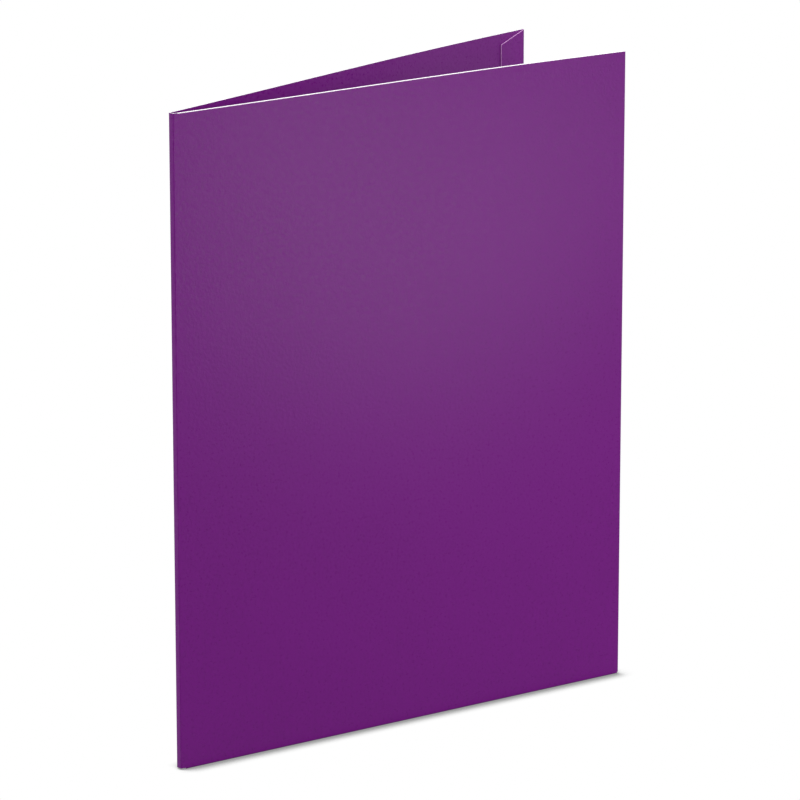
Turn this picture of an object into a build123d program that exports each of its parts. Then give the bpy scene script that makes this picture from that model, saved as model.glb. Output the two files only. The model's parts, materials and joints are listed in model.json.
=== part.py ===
from build123d import *

import os

# A letter-size presentation folder, standing slightly open as a V.
# It is one die-cut sheet of laminated board, scored and folded: a spine strip between two covers,
# a turn-in folded back at each fore edge, and a pocket folded up from each cover's foot.
# Every panel between two scores, and every fold, is a solid of its own.
# +Z is up. X runs from the spine to the open fore edges, and the front cover is on the -Y side.
# The origin is at the middle of the folder's foot. Lengths are in millimetres, angles in degrees.

# The sheet
cover_width = 241.3
cover_height = 298.45
board = 0.45
glue_film = 0.05

# The spine and its two scores
opening_angle = 15.6
score_clearance = 0.1
closed_clearance = 0.3

# The turn-in along each fore edge
turn_in_width = 16.0
turn_in_relief = 0.25
turn_in_slope_drop = 5.0

# The pocket inside each cover
pocket_height = 101.6
pocket_spine_notch = 2.0
pocket_edge_lean = 10.0
pocket_corner_radius = 8.0
pocket_fore_margin = 0.25

# The glue lines
glue_margin = 2.0

# Each pocket lies on its glued turn-in, so that much room is behind it. The scores are as far apart
# as the two stacks of turn-in and pocket need between the covers when the folder is shut.
pocket_gap = board + 2 * glue_film
score_spread = 2 * (pocket_gap + board) + closed_clearance

# A score is a round bead in the sheet, as thick as the board, about an axis on the covers' inner faces
bead_radius = board
score_socket_radius = bead_radius + score_clearance
half_angle = opening_angle / 2

# Every other fold is half a ring about the middle of the space that it closes
edge_fold_inner = glue_film / 2
edge_fold_outer = edge_fold_inner + board
foot_fold_inner = pocket_gap / 2
foot_fold_outer = foot_fold_inner + board

# Reaches along a cover, measured from its score's axis
cover_reach = cover_width - bead_radius
edge_line = cover_reach - edge_fold_outer
turn_in_line = cover_reach - turn_in_width
pocket_fore_line = edge_line - pocket_fore_margin

# Depths, measured from a cover's outer face towards the inside of the folder
turn_in_depth = board + glue_film
pocket_depth = board + pocket_gap
edge_fold_depth = board + edge_fold_inner
foot_fold_depth = board + foot_fold_inner
turn_in_glue_depth = board
pocket_glue_depth = turn_in_depth + board

# Heights above the surface that the folder stands on
foot_line = foot_fold_outer
turn_in_foot = foot_line + turn_in_relief
turn_in_top = cover_height - turn_in_relief

# The two fore edges are the farthest from the spine, and the origin is midway
edge_fold_centre = Vector(edge_line, edge_fold_inner).rotate(Axis.Z, -half_angle)
spine_to_fore = bead_radius + edge_fold_centre.X + edge_fold_outer
spine_x = -spine_to_fore / 2


def upright(plan, bottom, top):
    """A prism that stands on a plan, from one height to another."""
    return Pos(0, 0, bottom) * extrude(plan, top - bottom, dir=(0, 0, 1))


def sheet(outline, depth, thickness):
    """A flat sheet parallel to a cover: an outline of reaches and heights, set at a depth."""
    elevation = Plane(origin=(0, depth, 0), x_dir=(1, 0, 0), z_dir=(0, -1, 0))
    return extrude(elevation * outline, thickness, dir=(0, 1, 0))


def outlined(*points):
    """A face inside a closed outline of straight edges."""
    return make_face(Polyline(*points, close=True))


def half_ring(inner, outer):
    """Half of a flat ring, on the +X side of its centre."""
    return (Circle(outer) - Circle(inner)) & Rectangle(outer, 2 * outer, align=(Align.MIN, Align.CENTER))


def cover():
    """The cover panel, with a hollow edge that turns about the score's bead."""
    panel = Rectangle(edge_line, board, align=Align.MIN)
    return upright(panel - Pos(0, board) * Circle(score_socket_radius), foot_line, cover_height)


def edge_fold():
    """The rounded fore edge, where the sheet turns back on itself."""
    ring = half_ring(edge_fold_inner, edge_fold_outer)
    return upright(Pos(edge_line, edge_fold_depth) * ring, turn_in_foot, turn_in_top)


def turn_in():
    """The strip folded back along the fore edge, with both ends sloped off."""
    outline = outlined(
        (edge_line, turn_in_foot),
        (edge_line, turn_in_top),
        (turn_in_line, turn_in_top - turn_in_slope_drop),
        (turn_in_line, turn_in_foot + turn_in_slope_drop),
    )
    return sheet(outline, turn_in_depth, board)


def foot_fold():
    """The rounded foot, where the sheet turns up into the pocket. The folder stands on it."""
    start = Plane(
        origin=(pocket_spine_notch, foot_fold_depth, foot_line), x_dir=(0, 0, -1), z_dir=(1, 0, 0)
    )
    ring = start * half_ring(foot_fold_inner, foot_fold_outer)
    return extrude(ring, pocket_fore_line - pocket_spine_notch, dir=(1, 0, 0))


def pocket():
    """The pocket panel: its spine edge leans away from the spine, to a rounded upper corner."""
    outline = outlined(
        (pocket_spine_notch, foot_line),
        (pocket_fore_line, foot_line),
        (pocket_fore_line, pocket_height),
        (pocket_spine_notch + pocket_edge_lean, pocket_height),
    )
    top_corners = outline.vertices().sort_by(Axis.Y)[-2:]
    free_corner = top_corners.sort_by(Axis.X)[0]
    return sheet(fillet(free_corner, pocket_corner_radius), pocket_depth, board)


def glue_line(top, depth):
    """A film of glue on the turn-in, inside its edges, up to a given height."""
    inner = turn_in_line + glue_margin
    outer = pocket_fore_line - glue_margin
    bottom = turn_in_foot + turn_in_slope_drop + glue_margin
    outline = outlined((inner, bottom), (outer, bottom), (outer, top), (inner, top))
    return sheet(outline, depth, glue_film)


def turn_in_glue():
    """The glue that holds the turn-in down on the cover."""
    return glue_line(turn_in_top - turn_in_slope_drop - glue_margin, turn_in_glue_depth)


def pocket_glue():
    """The glue that holds the pocket's fore edge down on the turn-in."""
    return glue_line(pocket_height - glue_margin, pocket_glue_depth)


def spine():
    """The strip between the two scores, with a round bead along each of them."""
    web = Rectangle(board, score_spread, align=(Align.MIN, Align.CENTER))
    beads = [Pos(board, side * score_spread / 2) * Circle(bead_radius) for side in (-1, 1)]
    return Pos(spine_x, 0, 0) * upright(web + beads, foot_line, cover_height)


half_pieces = {
    "cover": cover(),
    "edge_fold": edge_fold(),
    "turn_in": turn_in(),
    "turn_in_glue": turn_in_glue(),
    "foot_fold": foot_fold(),
    "pocket": pocket(),
    "pocket_glue": pocket_glue(),
}

# Each half stands open about its score's axis, and the back half mirrors the front half
score_axis = Pos(spine_x + bead_radius, -score_spread / 2, 0)
front_place = score_axis * Rot(0, 0, -half_angle) * Pos(0, -board, 0)
nodes = {"spine": spine()}
for name, shape in half_pieces.items():
    front_shape = front_place * shape
    nodes["front_" + name] = front_shape
    nodes["back_" + name] = mirror(front_shape, about=Plane.XZ)

os.makedirs("parts", exist_ok=True)
for name, shape in nodes.items():
    export_step(shape, "parts/" + name + ".step")
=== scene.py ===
import json
import math
from collections import namedtuple

import bmesh
import bpy
from mathutils import Matrix, Vector


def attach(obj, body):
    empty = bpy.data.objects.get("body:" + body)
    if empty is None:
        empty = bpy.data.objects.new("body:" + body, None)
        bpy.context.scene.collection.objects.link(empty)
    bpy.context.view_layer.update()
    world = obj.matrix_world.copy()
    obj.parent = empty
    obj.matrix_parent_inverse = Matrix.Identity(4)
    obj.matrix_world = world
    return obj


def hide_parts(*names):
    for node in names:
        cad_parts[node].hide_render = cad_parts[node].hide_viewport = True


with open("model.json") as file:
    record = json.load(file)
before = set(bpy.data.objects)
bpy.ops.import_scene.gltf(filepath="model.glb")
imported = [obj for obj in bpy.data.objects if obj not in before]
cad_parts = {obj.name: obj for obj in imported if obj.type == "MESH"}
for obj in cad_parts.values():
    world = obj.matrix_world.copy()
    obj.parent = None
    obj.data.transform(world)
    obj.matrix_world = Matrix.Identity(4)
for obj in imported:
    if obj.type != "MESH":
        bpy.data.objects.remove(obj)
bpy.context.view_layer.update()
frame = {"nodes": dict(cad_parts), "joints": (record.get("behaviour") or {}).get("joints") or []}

# A letter-size presentation folder of purple laminated board, standing slightly open as a V.
# Lengths are in metres and angles in radians. A place on a half of the folder is given by its reach along
# the cover from the score, its inset from the cover's inner face towards the inside, and its height.

# The scores that the halves turn about, and the side of the spine that each half is on
front_score = next(joint for joint in frame["joints"] if joint["name"] == "front_score")
score_x = front_score["pos_m"][0]
score_offset = abs(front_score["pos_m"][1])
half_angle = math.radians(-front_score["range_deg"][0])
sides = {"front": -1, "back": 1}


def on_half(side, reach, inset, height):
    """The point at a place on a half of the folder, in the frame's coordinates."""
    x = score_x + reach * math.cos(half_angle) + inset * math.sin(half_angle)
    y = score_offset + reach * math.sin(half_angle) - inset * math.cos(half_angle)
    return Vector((x, side * y, height))


def front_box(node_name):
    """The lowest and highest reach, inset and height of a node of the front half."""
    places = []
    for vertex in frame["nodes"][node_name].data.vertices:
        along = vertex.co.x - score_x
        across = -vertex.co.y - score_offset
        reach = along * math.cos(half_angle) + across * math.sin(half_angle)
        inset = along * math.sin(half_angle) - across * math.cos(half_angle)
        places.append((reach, inset, vertex.co.z))
    columns = list(zip(*places))
    return Vector(map(min, columns)), Vector(map(max, columns))


# Sizes of the sheet and its folds, from the frame
cover_low, cover_high = front_box("front_cover")
turn_in_low, turn_in_high = front_box("front_turn_in")
pocket_low, pocket_high = front_box("front_pocket")
_, edge_fold_high = front_box("front_edge_fold")
foot_fold_low, _ = front_box("front_foot_fold")
board = cover_high.y - cover_low.y
foot_line = cover_low.z
cover_height = cover_high.z
edge_line = cover_high.x
edge_fold_outer = edge_fold_high.x - edge_line
edge_fold_inner = edge_fold_outer - board
edge_fold_middle = edge_fold_inner + board / 2
cover_reach = edge_line + edge_fold_outer
foot_fold_outer = foot_line - foot_fold_low.z
foot_fold_inner = foot_fold_outer - board
foot_fold_middle = foot_fold_inner + board / 2

# Sizes that the frame's boxes don't give
turn_in_slope_drop = 0.005
pocket_edge_lean = 0.010
pocket_corner_radius = 0.008

# The sheet runs on through a score, so a cover's hollow edge all but touches the bead
score_gap = 0.00001
hollow_radius = board + score_gap

# A bead is round for three quarters of a turn, and the web takes up the rest
bead_turn = 1.5 * math.pi

# Cut edges are a little rounded, less on the inner skin than on the outer one
cut_edge_round = 0.0003
pressed_edge_round = 0.00012
inner_round_share = 0.3
round_steps = 2

# The covers bow towards the back, not at all at the stiff foot and most at the top, past the middle
top_bow = 0.0021
bow_rise_power = 1.5
bow_lean_power = 1.6

# How finely the sheets are divided
panel_step = 0.006
pocket_steps = 40
turn_in_steps = 5
turn_in_rungs = 48
fold_steps = 16
bead_steps = 24
hollow_steps = 8
corner_steps = 10

# Colours, in linear light
purple = (0.122, 0.001, 0.153)
pale_purple = (0.36, 0.16, 0.40)
core_white = (0.92, 0.89, 0.92)
core_pressed = (0.55, 0.27, 0.56)
glue_cream = (0.74, 0.70, 0.58)

# The range that most of a noise lies in, and its usual fineness
noise_low = 0.3
noise_high = 0.7
noise_fineness = 0.5

# The film, with scales in features per metre of the flat sheet
grain_scale = 600.0
grain_detail = 2.0
grain_fineness = 0.8
cloud_scale = 14.0
cloud_detail = 2.0
cloud_light_share = 0.5
mottle_scale = 260.0
mottle_detail = 4.0
mottle_light_share = 0.5
deep_share = 0.91
light_share = 1.08
film_smoothest = 0.26
film_roughest = 0.40
film_gloss = 0.18
relief_scale = 700.0
relief_detail = 3.0
relief_depth = 0.00005

# Scuffs on the folds, and fainter ones on the spine, where the mottle is strongest
scuff_start = 0.5
scuff_full = 0.75
scuff_pale_share = 0.12
spine_wear_share = 0.35

# Dust specks, one in a few of many cells, with radii as shares of a cell
speck_cell_scale = 45.0
speck_core_share = 0.004
speck_rim_share = 0.012
speck_pale_share = 0.22
empty_cells_share = 0.93

# The board's core, where it is cut
fibre_scale = 1800.0
fibre_detail = 3.0
fibre_depth = 0.00004
fibre_dull_share = 0.85
core_roughness = 0.85
core_gloss = 0.25

# The glue
streak_scale = 500.0
streak_detail = 2.0
streak_dull_share = 0.8
glue_smoothest = 0.3
glue_roughest = 0.5

# The floor, white to the camera apart from the shadow close round the folder's foot
floor_size = 12.0
floor_steps = 2
floor_grey = (0.25, 0.25, 0.25)

# The shadow, which leans away from the light at the spine's side, and fades as the floor lies more open
shadow_reach = 0.010
shadow_lean = math.radians(33)
shadow_white_share = 0.33
full_shadow_open_share = 0.63
no_shadow_open_share = 0.92
shadow_samples = 16

# The backdrop, and the share of its white that lights the folder
backdrop_white = (1.0, 1.0, 1.0)
ambient_share = 0.45

# A soft lamp: its place, what it faces, its width and height, and how many times as bright as white it is
Lamp = namedtuple("Lamp", "place target width height brightness")
folder_middle = (0.0, 0.0, cover_height / 2)
lamps = {
    "key": Lamp((0.1, -2.0, 1.0), folder_middle, 1.3, 1.3, 3.3),
    "left": Lamp((-1.8, -0.35, 0.8), folder_middle, 1.1, 1.1, 2.5),
    "back": Lamp((-1.5, 1.3, 0.9), folder_middle, 1.3, 1.3, 5.0),
    "rear": Lamp((0.5, 2.0, 1.0), folder_middle, 1.3, 1.3, 2.0),
    "top": Lamp((0.2, -0.4, 1.7), folder_middle, 1.3, 1.3, 4.3),
    "fore": Lamp((1.9, 0.0, 0.6), folder_middle, 1.2, 1.2, 11.0),
    "side": Lamp((0.185, -0.455, 0.15), (0.0, -0.017, 0.22), 0.26, 0.24, 3.3),
}

# The camera, at the photograph's viewing angle, with its sensor and lens in millimetres
camera_place = (-1.4450, -1.6320, 0.7543)
camera_azimuth = math.radians(-41.764)
camera_elevation = math.radians(15.531)
camera_sensor_width = 36.0
camera_lens = 225.0

# The layers and material slots of the sheets' meshes
flat_layer = "Flat"
wear_layer = "worn"
rounding_layer = "bevel_weight_edge"
film_slot = 0
cut_slot = 1

# A spot on a sheet: its places on the outer and inner skins, its place on the flat sheet, and its wear
Spot = namedtuple("Spot", "outer inner flat wear")


def divided(start, stop, count):
    """Values from start to stop, in a count of even steps."""
    return [start + (stop - start) * index / count for index in range(count + 1)]


def spread(start, stop):
    """Values from start up to stop, in even steps about as long as a panel's step."""
    return divided(start, stop, max(1, round((stop - start) / panel_step)))


def bow(reach, height):
    """How far the sheet bows at a place on a cover."""
    lift = max(0.0, (height - pocket_high.z) / (cover_height - pocket_high.z))
    along = min(max(reach / cover_reach, 0.0), 1.0)
    return top_bow * lift ** bow_rise_power * math.sin(math.pi * along ** bow_lean_power)


def placed(side, place):
    """The point of a place on a half, in the frame's coordinates, with the sheet's bow added."""
    reach, inset, height = place
    return on_half(side, reach, inset - side * bow(reach, height), height)


def hollow_edge():
    """Reaches and insets round the cover's hollow edge, from its outer face to its inner face."""
    angles = divided(math.asin(board / hollow_radius), 0, hollow_steps)
    return [(hollow_radius * math.cos(angle), -hollow_radius * math.sin(angle)) for angle in angles]


def cover_rows():
    """The cover panel, hollowed along the spine to turn about the score's bead."""
    outer_start = hollow_edge()[0][0]
    inner_start = hollow_edge()[-1][0]
    reaches = spread(pocket_low.x, edge_line)
    for height in spread(foot_line, cover_height):
        row = [Spot((outer_start, -board, height), (inner_start, 0, height), (inner_start, height), 0)]
        row += [Spot((reach, -board, height), (reach, 0, height), (reach, height), 0) for reach in reaches]
        yield row


def edge_fold_rows():
    """The rounded fore edge, where the sheet turns back on itself."""
    for angle in divided(0, math.pi, fold_steps):
        across = edge_line + angle * edge_fold_middle
        row = []
        for height in spread(turn_in_low.z, turn_in_high.z):
            skins = [
                (edge_line + radius * math.sin(angle), edge_fold_inner - radius * math.cos(angle), height)
                for radius in (edge_fold_outer, edge_fold_inner)
            ]
            row.append(Spot(*skins, (across, height), math.sin(angle)))
        yield row


def turn_in_rows():
    """The strip folded back along the fore edge, with both ends sloped off."""
    fold_length = math.pi * edge_fold_middle
    for reach in divided(edge_line, turn_in_low.x, turn_in_steps):
        across = 2 * edge_line + fold_length - reach
        drop = turn_in_slope_drop * (edge_line - reach) / (edge_line - turn_in_low.x)
        row = []
        for height in divided(turn_in_low.z + drop, turn_in_high.z - drop, turn_in_rungs):
            skins = [(reach, inset, height) for inset in (turn_in_high.y, turn_in_low.y)]
            row.append(Spot(*skins, (across, height), 0))
        yield row


def foot_fold_rows():
    """The rounded foot, where the sheet turns up into the pocket."""
    centre = pocket_low.y / 2
    for angle in divided(0, math.pi, fold_steps):
        down = foot_line - angle * foot_fold_middle
        row = []
        for reach in spread(pocket_low.x, pocket_high.x):
            skins = [
                (reach, centre - radius * math.cos(angle), foot_line - radius * math.sin(angle))
                for radius in (foot_fold_outer, foot_fold_inner)
            ]
            row.append(Spot(*skins, (reach, down), math.sin(angle)))
        yield row


def pocket_spine_edge():
    """Reaches and heights up the pocket's spine edge, which leans and ends in a rounded corner."""
    lean = math.atan2(pocket_edge_lean, pocket_high.z - foot_line)
    corner_turn = math.pi / 2 - lean
    tangent = pocket_corner_radius * math.tan(corner_turn / 2)
    arc_start = pocket_high.z - tangent * math.cos(lean)
    centre_reach = pocket_low.x + pocket_edge_lean + tangent
    centre_height = pocket_high.z - pocket_corner_radius
    edge = []
    for height in spread(foot_line, arc_start):
        edge.append((pocket_low.x + (height - foot_line) * math.tan(lean), height))
    for angle in divided(math.pi - lean, math.pi / 2, corner_steps)[1:]:
        reach = centre_reach + pocket_corner_radius * math.cos(angle)
        edge.append((reach, centre_height + pocket_corner_radius * math.sin(angle)))
    return edge


def pocket_rows():
    """The pocket panel inside the cover's foot."""
    fold_length = math.pi * foot_fold_middle
    for start, height in pocket_spine_edge():
        down = 2 * foot_line - fold_length - height
        row = []
        for reach in divided(start, pocket_high.x, pocket_steps):
            skins = [(reach, inset, height) for inset in (pocket_high.y, pocket_low.y)]
            row.append(Spot(*skins, (reach, down), 0))
        yield row


def glue_rows(node_name):
    """The film of glue between two sheets that a node of the front half stands for."""
    low, high = front_box(node_name)
    for height in spread(low.z, high.z):
        row = []
        for reach in spread(low.x, high.x):
            skins = [(reach, inset, height) for inset in (high.y, low.y)]
            row.append(Spot(*skins, (reach, height), 0))
        yield row


def new_sheet():
    """An empty sheet, with layers for its places on the flat sheet and for its wear."""
    sheet = bmesh.new()
    sheet.loops.layers.uv.new(flat_layer)
    sheet.verts.layers.float.new(wear_layer)
    return sheet


def add_points(sheet, side, rows, hollow):
    """A sheet's points: two skins, lines between them along a hollow, and each point's flat place."""
    wear = sheet.verts.layers.float[wear_layer]
    skins = ([], [])
    hollow_lines = [[] for _ in hollow]
    flat_of = {}
    for row in rows:
        start = row[0]
        _, _, height = start.outer
        for line, (reach, inset) in zip(hollow_lines, hollow):
            vertex = sheet.verts.new(placed(side, (reach, inset, height)))
            flat_of[vertex] = start.flat
            line.append(vertex)
        for layer, skin in enumerate(skins):
            line = []
            for spot in row:
                vertex = sheet.verts.new(placed(side, spot[layer]))
                vertex[wear] = spot.wear
                flat_of[vertex] = spot.flat
                line.append(vertex)
            skin.append(line)
    return skins, hollow_lines, flat_of


def add_skin(sheet, lines):
    """The faces between lines of points."""
    for low, high in zip(lines, lines[1:]):
        for index in range(len(low) - 1):
            sheet.faces.new((low[index], low[index + 1], high[index + 1], high[index]))


def rims_between(outer, inner, hollow_lines):
    """The rims between two skins: the side, the near and far lines, and a hollow's points at their start."""
    columns = [[line[0] for line in outer], *hollow_lines, [line[0] for line in inner]]
    for near, far in zip(columns, columns[1:]):
        yield "first_column", near, far, []
    yield "last_column", [line[-1] for line in outer], [line[-1] for line in inner], []
    yield "first_row", outer[0], inner[0], [line[0] for line in reversed(hollow_lines)]
    yield "last_row", outer[-1], inner[-1], [line[-1] for line in reversed(hollow_lines)]


def add_rims(sheet, rims, cut_sides, rounded_sides):
    """The faces of a sheet's rims, with sharp edges, some of them to be rounded."""
    rounding = sheet.edges.layers.float[rounding_layer]
    for rim, near, far, hollow_points in rims:
        for index in range(len(near) - 1):
            corners = [near[index], near[index + 1], far[index + 1], far[index]]
            at_hollow = index == 0 and bool(hollow_points)
            if at_hollow:
                corners += hollow_points
            face = sheet.faces.new(corners)
            face.material_index = cut_slot if rim in cut_sides else film_slot
            for edge in face.edges:
                edge.smooth = False
            if rim in rounded_sides and not at_hollow:
                for line, share in ((near, 1.0), (far, inner_round_share)):
                    edge = sheet.edges.get((line[index], line[index + 1]))
                    edge[rounding] = share


def finished_mesh(name, sheet, flat_of):
    """The mesh of a sheet, smooth between its sharp edges, with each point's place on the flat sheet."""
    flat = sheet.loops.layers.uv[flat_layer]
    bmesh.ops.recalc_face_normals(sheet, faces=sheet.faces)
    for face in sheet.faces:
        face.smooth = True
        for loop in face.loops:
            loop[flat].uv = flat_of[loop.vert]
    mesh = bpy.data.meshes.new(name)
    sheet.to_mesh(mesh)
    sheet.free()
    return mesh


def sheet_mesh(name, side, rows, cut_sides=(), rounded_sides=(), hollow=()):
    """A mesh of two skins and the rims between them. Cut sides show the board's core.

    A hollow is the reaches and insets of the points between the skins along the first column.
    """
    sheet = new_sheet()
    sheet.edges.layers.float.new(rounding_layer)
    skins, hollow_lines, flat_of = add_points(sheet, side, rows, hollow)
    for skin in skins:
        add_skin(sheet, skin)
    add_rims(sheet, rims_between(*skins, hollow_lines), cut_sides, rounded_sides)
    return finished_mesh(name, sheet, flat_of)


def spine_outline():
    """The points round the spine strip, seen from above: a round bead at each score, and the web between."""
    turns = divided(0, bead_turn, bead_steps)
    outline = []
    for side, bead_turns in ((1, turns), (-1, reversed(turns))):
        for turn in bead_turns:
            x = score_x - board * math.cos(turn)
            y = side * (score_offset + board * math.sin(turn))
            outline.append((x, y))
    return outline


def spine_mesh(name):
    """A mesh of the strip between the two scores, with both ends cut."""
    sheet = new_sheet()
    wear = sheet.verts.layers.float[wear_layer]
    outline = spine_outline()
    lengths = [0.0]
    for (x, y), (next_x, next_y) in zip(outline, outline[1:]):
        lengths.append(lengths[-1] + math.hypot(next_x - x, next_y - y))
    rings = []
    flat_of = {}
    for height in spread(foot_line, cover_height):
        ring = []
        for (x, y), length in zip(outline, lengths):
            vertex = sheet.verts.new((x, y, height))
            vertex[wear] = spine_wear_share
            flat_of[vertex] = (length, height)
            ring.append(vertex)
        rings.append(ring)
    add_skin(sheet, [ring + ring[:1] for ring in rings])
    for ring in (rings[0], rings[-1]):
        cap = sheet.faces.new(ring)
        cap.material_index = cut_slot
        for edge in cap.edges:
            edge.smooth = False
    return finished_mesh(name, sheet, flat_of)


def opaque(colour, share=1.0):
    """A colour, or a share of it, as a shader takes it."""
    return (*(share * part for part in colour), 1.0)


def new_material(name):
    """A node material and its node tree."""
    material = bpy.data.materials.new(name)
    material.use_nodes = True
    return material, material.node_tree


def feed(tree, target, value):
    """Gives an input a fixed value, or links it to an output."""
    if isinstance(value, bpy.types.NodeSocket):
        tree.links.new(value, target)
    else:
        target.default_value = value


def add_node(tree, kind, inputs=None, **settings):
    """A new node with its settings, and with its inputs fed."""
    made = tree.nodes.new(kind)
    for name, value in settings.items():
        setattr(made, name, value)
    for key, value in (inputs or {}).items():
        feed(tree, made.inputs[key], value)
    return made


def flat_place(tree):
    """A point's place on the flat sheet."""
    return add_node(tree, "ShaderNodeUVMap", uv_map=flat_layer).outputs["UV"]


def flat_noise(tree, scale, detail, fineness=noise_fineness):
    """Noise over the flat sheet, in features per metre."""
    inputs = {"Vector": flat_place(tree), "Scale": scale, "Detail": detail, "Roughness": fineness}
    return add_node(tree, "ShaderNodeTexNoise", inputs, noise_dimensions="2D").outputs["Fac"]


def ranged(tree, value, low, high, from_low=noise_low, from_high=noise_high):
    """A value brought from one range to another."""
    inputs = {"Value": value, "From Min": from_low, "From Max": from_high, "To Min": low, "To Max": high}
    return add_node(tree, "ShaderNodeMapRange", inputs).outputs["Result"]


def calculated(tree, operation, first, second):
    """The result of an operation on two values."""
    return add_node(tree, "ShaderNodeMath", {0: first, 1: second}, operation=operation).outputs["Value"]


def colour_socket(sockets, name):
    """The socket of a mix node that carries a colour."""
    return next(socket for socket in sockets if socket.name == name and socket.type == "RGBA")


def mixed(tree, factor, first, second):
    """Two colours mixed. Each colour is a fixed one or an output."""
    made = add_node(tree, "ShaderNodeMix", {"Factor": factor}, data_type="RGBA")
    feed(tree, colour_socket(made.inputs, "A"), first)
    feed(tree, colour_socket(made.inputs, "B"), second)
    return colour_socket(made.outputs, "Result")


def bumped(tree, shader, height, distance):
    """Relief on a shader's surface, from a height between 0 and 1."""
    made = add_node(tree, "ShaderNodeBump", {"Height": height, "Distance": distance})
    feed(tree, shader.inputs["Normal"], made.outputs["Normal"])


def specks(tree):
    """A sparse scatter of dust specks over the flat sheet, as a factor."""
    inputs = {"Vector": flat_place(tree), "Scale": speck_cell_scale}
    cells = add_node(tree, "ShaderNodeTexVoronoi", inputs, voronoi_dimensions="2D")
    dot = ranged(tree, cells.outputs["Distance"], speck_pale_share, 0.0, speck_core_share, speck_rim_share)
    tone = add_node(tree, "ShaderNodeSeparateColor", {"Color": cells.outputs["Color"]})
    chosen = calculated(tree, "GREATER_THAN", tone.outputs["Red"], empty_cells_share)
    return calculated(tree, "MULTIPLY", dot, chosen)


def film_material():
    """Purple film over board: satin, with a fine grain, and paler where a fold has stretched it."""
    material, tree = new_material("purple_laminate")
    shader = tree.nodes["Principled BSDF"]
    grain = flat_noise(tree, grain_scale, grain_detail, grain_fineness)
    mottle = flat_noise(tree, mottle_scale, mottle_detail)
    cloud = flat_noise(tree, cloud_scale, cloud_detail)
    light = opaque(purple, light_share)
    pale = opaque(pale_purple)
    toned = mixed(tree, ranged(tree, grain, 0.0, 1.0), opaque(purple, deep_share), light)
    clouded = mixed(tree, ranged(tree, cloud, 0.0, cloud_light_share), toned, light)
    mottled = mixed(tree, ranged(tree, mottle, 0.0, mottle_light_share), clouded, light)
    dusty = mixed(tree, specks(tree), mottled, pale)
    wear = add_node(tree, "ShaderNodeAttribute", attribute_name=wear_layer)
    scuff = ranged(tree, mottle, 0.0, scuff_pale_share, scuff_start, scuff_full)
    fade = calculated(tree, "MULTIPLY", wear.outputs["Fac"], scuff)
    feed(tree, shader.inputs["Base Color"], mixed(tree, fade, dusty, pale))
    feed(tree, shader.inputs["Roughness"], ranged(tree, grain, film_smoothest, film_roughest))
    feed(tree, shader.inputs["Specular IOR Level"], film_gloss)
    bumped(tree, shader, flat_noise(tree, relief_scale, relief_detail), relief_depth)
    return material


def core_material(name, colour):
    """The pulp of the board where it is cut, white or tinted by the film pressed into it."""
    material, tree = new_material(name)
    shader = tree.nodes["Principled BSDF"]
    fibre = flat_noise(tree, fibre_scale, fibre_detail)
    dull = opaque(colour, fibre_dull_share)
    feed(tree, shader.inputs["Base Color"], mixed(tree, ranged(tree, fibre, 0.0, 1.0), dull, opaque(colour)))
    feed(tree, shader.inputs["Roughness"], core_roughness)
    feed(tree, shader.inputs["Specular IOR Level"], core_gloss)
    bumped(tree, shader, fibre, fibre_depth)
    return material


def glue_material():
    """Dried cold glue, milky and uneven."""
    material, tree = new_material("dried_glue")
    shader = tree.nodes["Principled BSDF"]
    streak = flat_noise(tree, streak_scale, streak_detail)
    dull = opaque(glue_cream, streak_dull_share)
    milky = mixed(tree, ranged(tree, streak, 0.0, 1.0), dull, opaque(glue_cream))
    feed(tree, shader.inputs["Base Color"], milky)
    feed(tree, shader.inputs["Roughness"], ranged(tree, streak, glue_smoothest, glue_roughest))
    return material


film = film_material()
core = core_material("board_core", core_white)
pressed_core = core_material("pressed_core", core_pressed)
glue = glue_material()


def add_piece(name, node_name, body, mesh, materials):
    """A piece that stands for a CAD node and moves with its body."""
    for material in materials:
        mesh.materials.append(material)
    piece = bpy.data.objects.new(name, mesh)
    bpy.context.scene.collection.objects.link(piece)
    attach(piece, body)
    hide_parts(node_name)
    return piece


def round_cut_edges(piece, width):
    """The cut edges of board are a little rounded, and the rounding takes the board's core material."""
    rounding = piece.modifiers.new("cut_edges", "BEVEL")
    rounding.width = width
    rounding.segments = round_steps
    rounding.limit_method = "WEIGHT"
    rounding.material = cut_slot
    rounding.use_clamp_overlap = False
    rounding.harden_normals = True


# A panel or fold: its rows, its cut sides and their material, its rounded sides, their width, and a hollow
Panel = namedtuple("Panel", "rows cut_sides cut rounded_sides rounding hollow", defaults=((), 0, ()))
ends = {"first_column", "last_column"}
free_sides = {"last_row", *ends}
cover_cuts = {"first_row", "last_row", "last_column"}
panels = {
    "cover": Panel(cover_rows, cover_cuts, core, {"last_row"}, cut_edge_round, hollow_edge()[1:-1]),
    "edge_fold": Panel(edge_fold_rows, ends, pressed_core),
    "turn_in": Panel(turn_in_rows, free_sides, pressed_core, free_sides, pressed_edge_round),
    "foot_fold": Panel(foot_fold_rows, ends, core),
    "pocket": Panel(pocket_rows, free_sides, pressed_core, free_sides, pressed_edge_round),
}

for half, side in sides.items():
    body = half + "_half"
    for part, panel in panels.items():
        node_name = half + "_" + part
        name = node_name + "_sheet"
        mesh = sheet_mesh(name, side, panel.rows(), panel.cut_sides, panel.rounded_sides, panel.hollow)
        piece = add_piece(name, node_name, body, mesh, (film, panel.cut))
        if panel.rounded_sides:
            round_cut_edges(piece, panel.rounding)
    for part in ("turn_in_glue", "pocket_glue"):
        node_name = half + "_" + part
        name = node_name + "_film"
        mesh = sheet_mesh(name, side, glue_rows("front_" + part))
        add_piece(name, node_name, body, mesh, (glue,))

add_piece("spine_sheet", "spine", "spine_strip", spine_mesh("spine_sheet"), (film, core))


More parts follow.
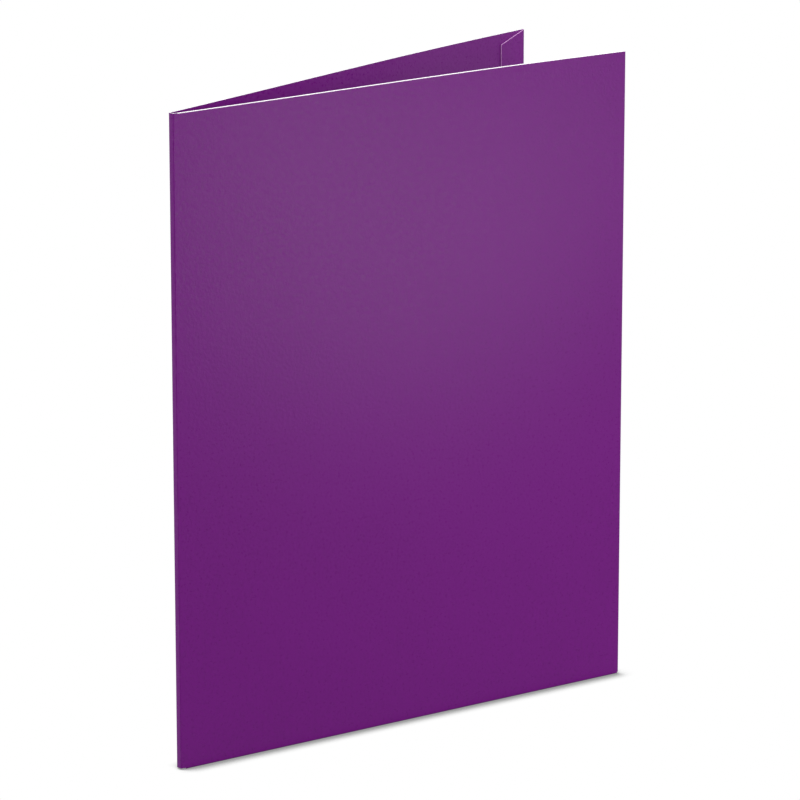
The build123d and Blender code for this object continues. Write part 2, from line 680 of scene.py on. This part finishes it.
def seen_rays(tree):
    """1 for what the camera sees straight, in gloss or through glass, and 0 for light on the folder."""
    rays = add_node(tree, "ShaderNodeLightPath")
    seen = rays.outputs["Is Camera Ray"]
    for other in ("Is Glossy Ray", "Is Transmission Ray"):
        seen = calculated(tree, "MAXIMUM", seen, rays.outputs[other])
    return seen


def floor_material():
    """A matt floor, seen as white with a contact shadow."""
    material, tree = new_material("floor")
    tree.nodes.clear()
    matt = add_node(tree, "ShaderNodeBsdfDiffuse", {"Color": opaque(floor_grey)})
    lean = add_node(tree, "ShaderNodeCombineXYZ", {"X": -math.sin(shadow_lean), "Z": math.cos(shadow_lean)})
    nearness = {"Distance": shadow_reach, "Normal": lean.outputs["Vector"]}
    near = add_node(tree, "ShaderNodeAmbientOcclusion", nearness, samples=shadow_samples)
    open_range = (full_shadow_open_share, no_shadow_open_share)
    level = ranged(tree, near.outputs["AO"], shadow_white_share, 1.0, *open_range)
    white = add_node(tree, "ShaderNodeEmission", {"Strength": level})
    shaders = {"Fac": seen_rays(tree), 1: matt.outputs["BSDF"], 2: white.outputs["Emission"]}
    choice = add_node(tree, "ShaderNodeMixShader", shaders)
    add_node(tree, "ShaderNodeOutputMaterial", {"Surface": choice.outputs["Shader"]})
    return material


def add_floor():
    """The floor that the folder stands on."""
    mesh = bpy.data.meshes.new("floor")
    grid = bmesh.new()
    bmesh.ops.create_grid(grid, x_segments=floor_steps, y_segments=floor_steps, size=floor_size / 2)
    grid.to_mesh(mesh)
    grid.free()
    mesh.materials.append(floor_material())
    floor = bpy.data.objects.new("floor", mesh)
    bpy.context.scene.collection.objects.link(floor)


def add_world():
    """A white backdrop that lights the folder only softly."""
    world = bpy.data.worlds.new("studio")
    bpy.context.scene.world = world
    world.use_nodes = True
    tree = world.node_tree
    sky = tree.nodes["Background"]
    feed(tree, sky.inputs["Color"], opaque(backdrop_white))
    feed(tree, sky.inputs["Strength"], ranged(tree, seen_rays(tree), ambient_share, 1.0, 0.0, 1.0))


def add_softbox(name, lamp):
    """A soft studio light that faces its target."""
    light = bpy.data.lights.new(name, "AREA")
    light.shape = "ELLIPSE"
    light.size = lamp.width
    light.size_y = lamp.height
    area = math.pi * lamp.width * lamp.height / 4
    light.energy = lamp.brightness * math.pi * area
    softbox = bpy.data.objects.new(name, light)
    softbox.location = lamp.place
    facing = Vector(lamp.target) - Vector(lamp.place)
    softbox.rotation_euler = facing.to_track_quat("-Z", "Y").to_euler()
    softbox.visible_camera = False
    bpy.context.scene.collection.objects.link(softbox)


def add_camera():
    """The camera, level from side to side."""
    data = bpy.data.cameras.new("camera")
    data.sensor_width = camera_sensor_width
    data.lens = camera_lens
    camera = bpy.data.objects.new("camera", data)
    right = Vector((math.cos(camera_azimuth), math.sin(camera_azimuth), 0.0))
    behind = Vector((
        math.sin(camera_azimuth) * math.cos(camera_elevation),
        -math.cos(camera_azimuth) * math.cos(camera_elevation),
        math.sin(camera_elevation),
    ))
    turn = Matrix((right, behind.cross(right), behind)).transposed()
    camera.matrix_world = Matrix.Translation(camera_place) @ turn.to_4x4()
    bpy.context.scene.collection.objects.link(camera)
    bpy.context.scene.camera = camera


add_floor()
add_world()
for name, lamp in lamps.items():
    add_softbox(name, lamp)
add_camera()

bpy.context.scene.view_settings.view_transform = "Standard"
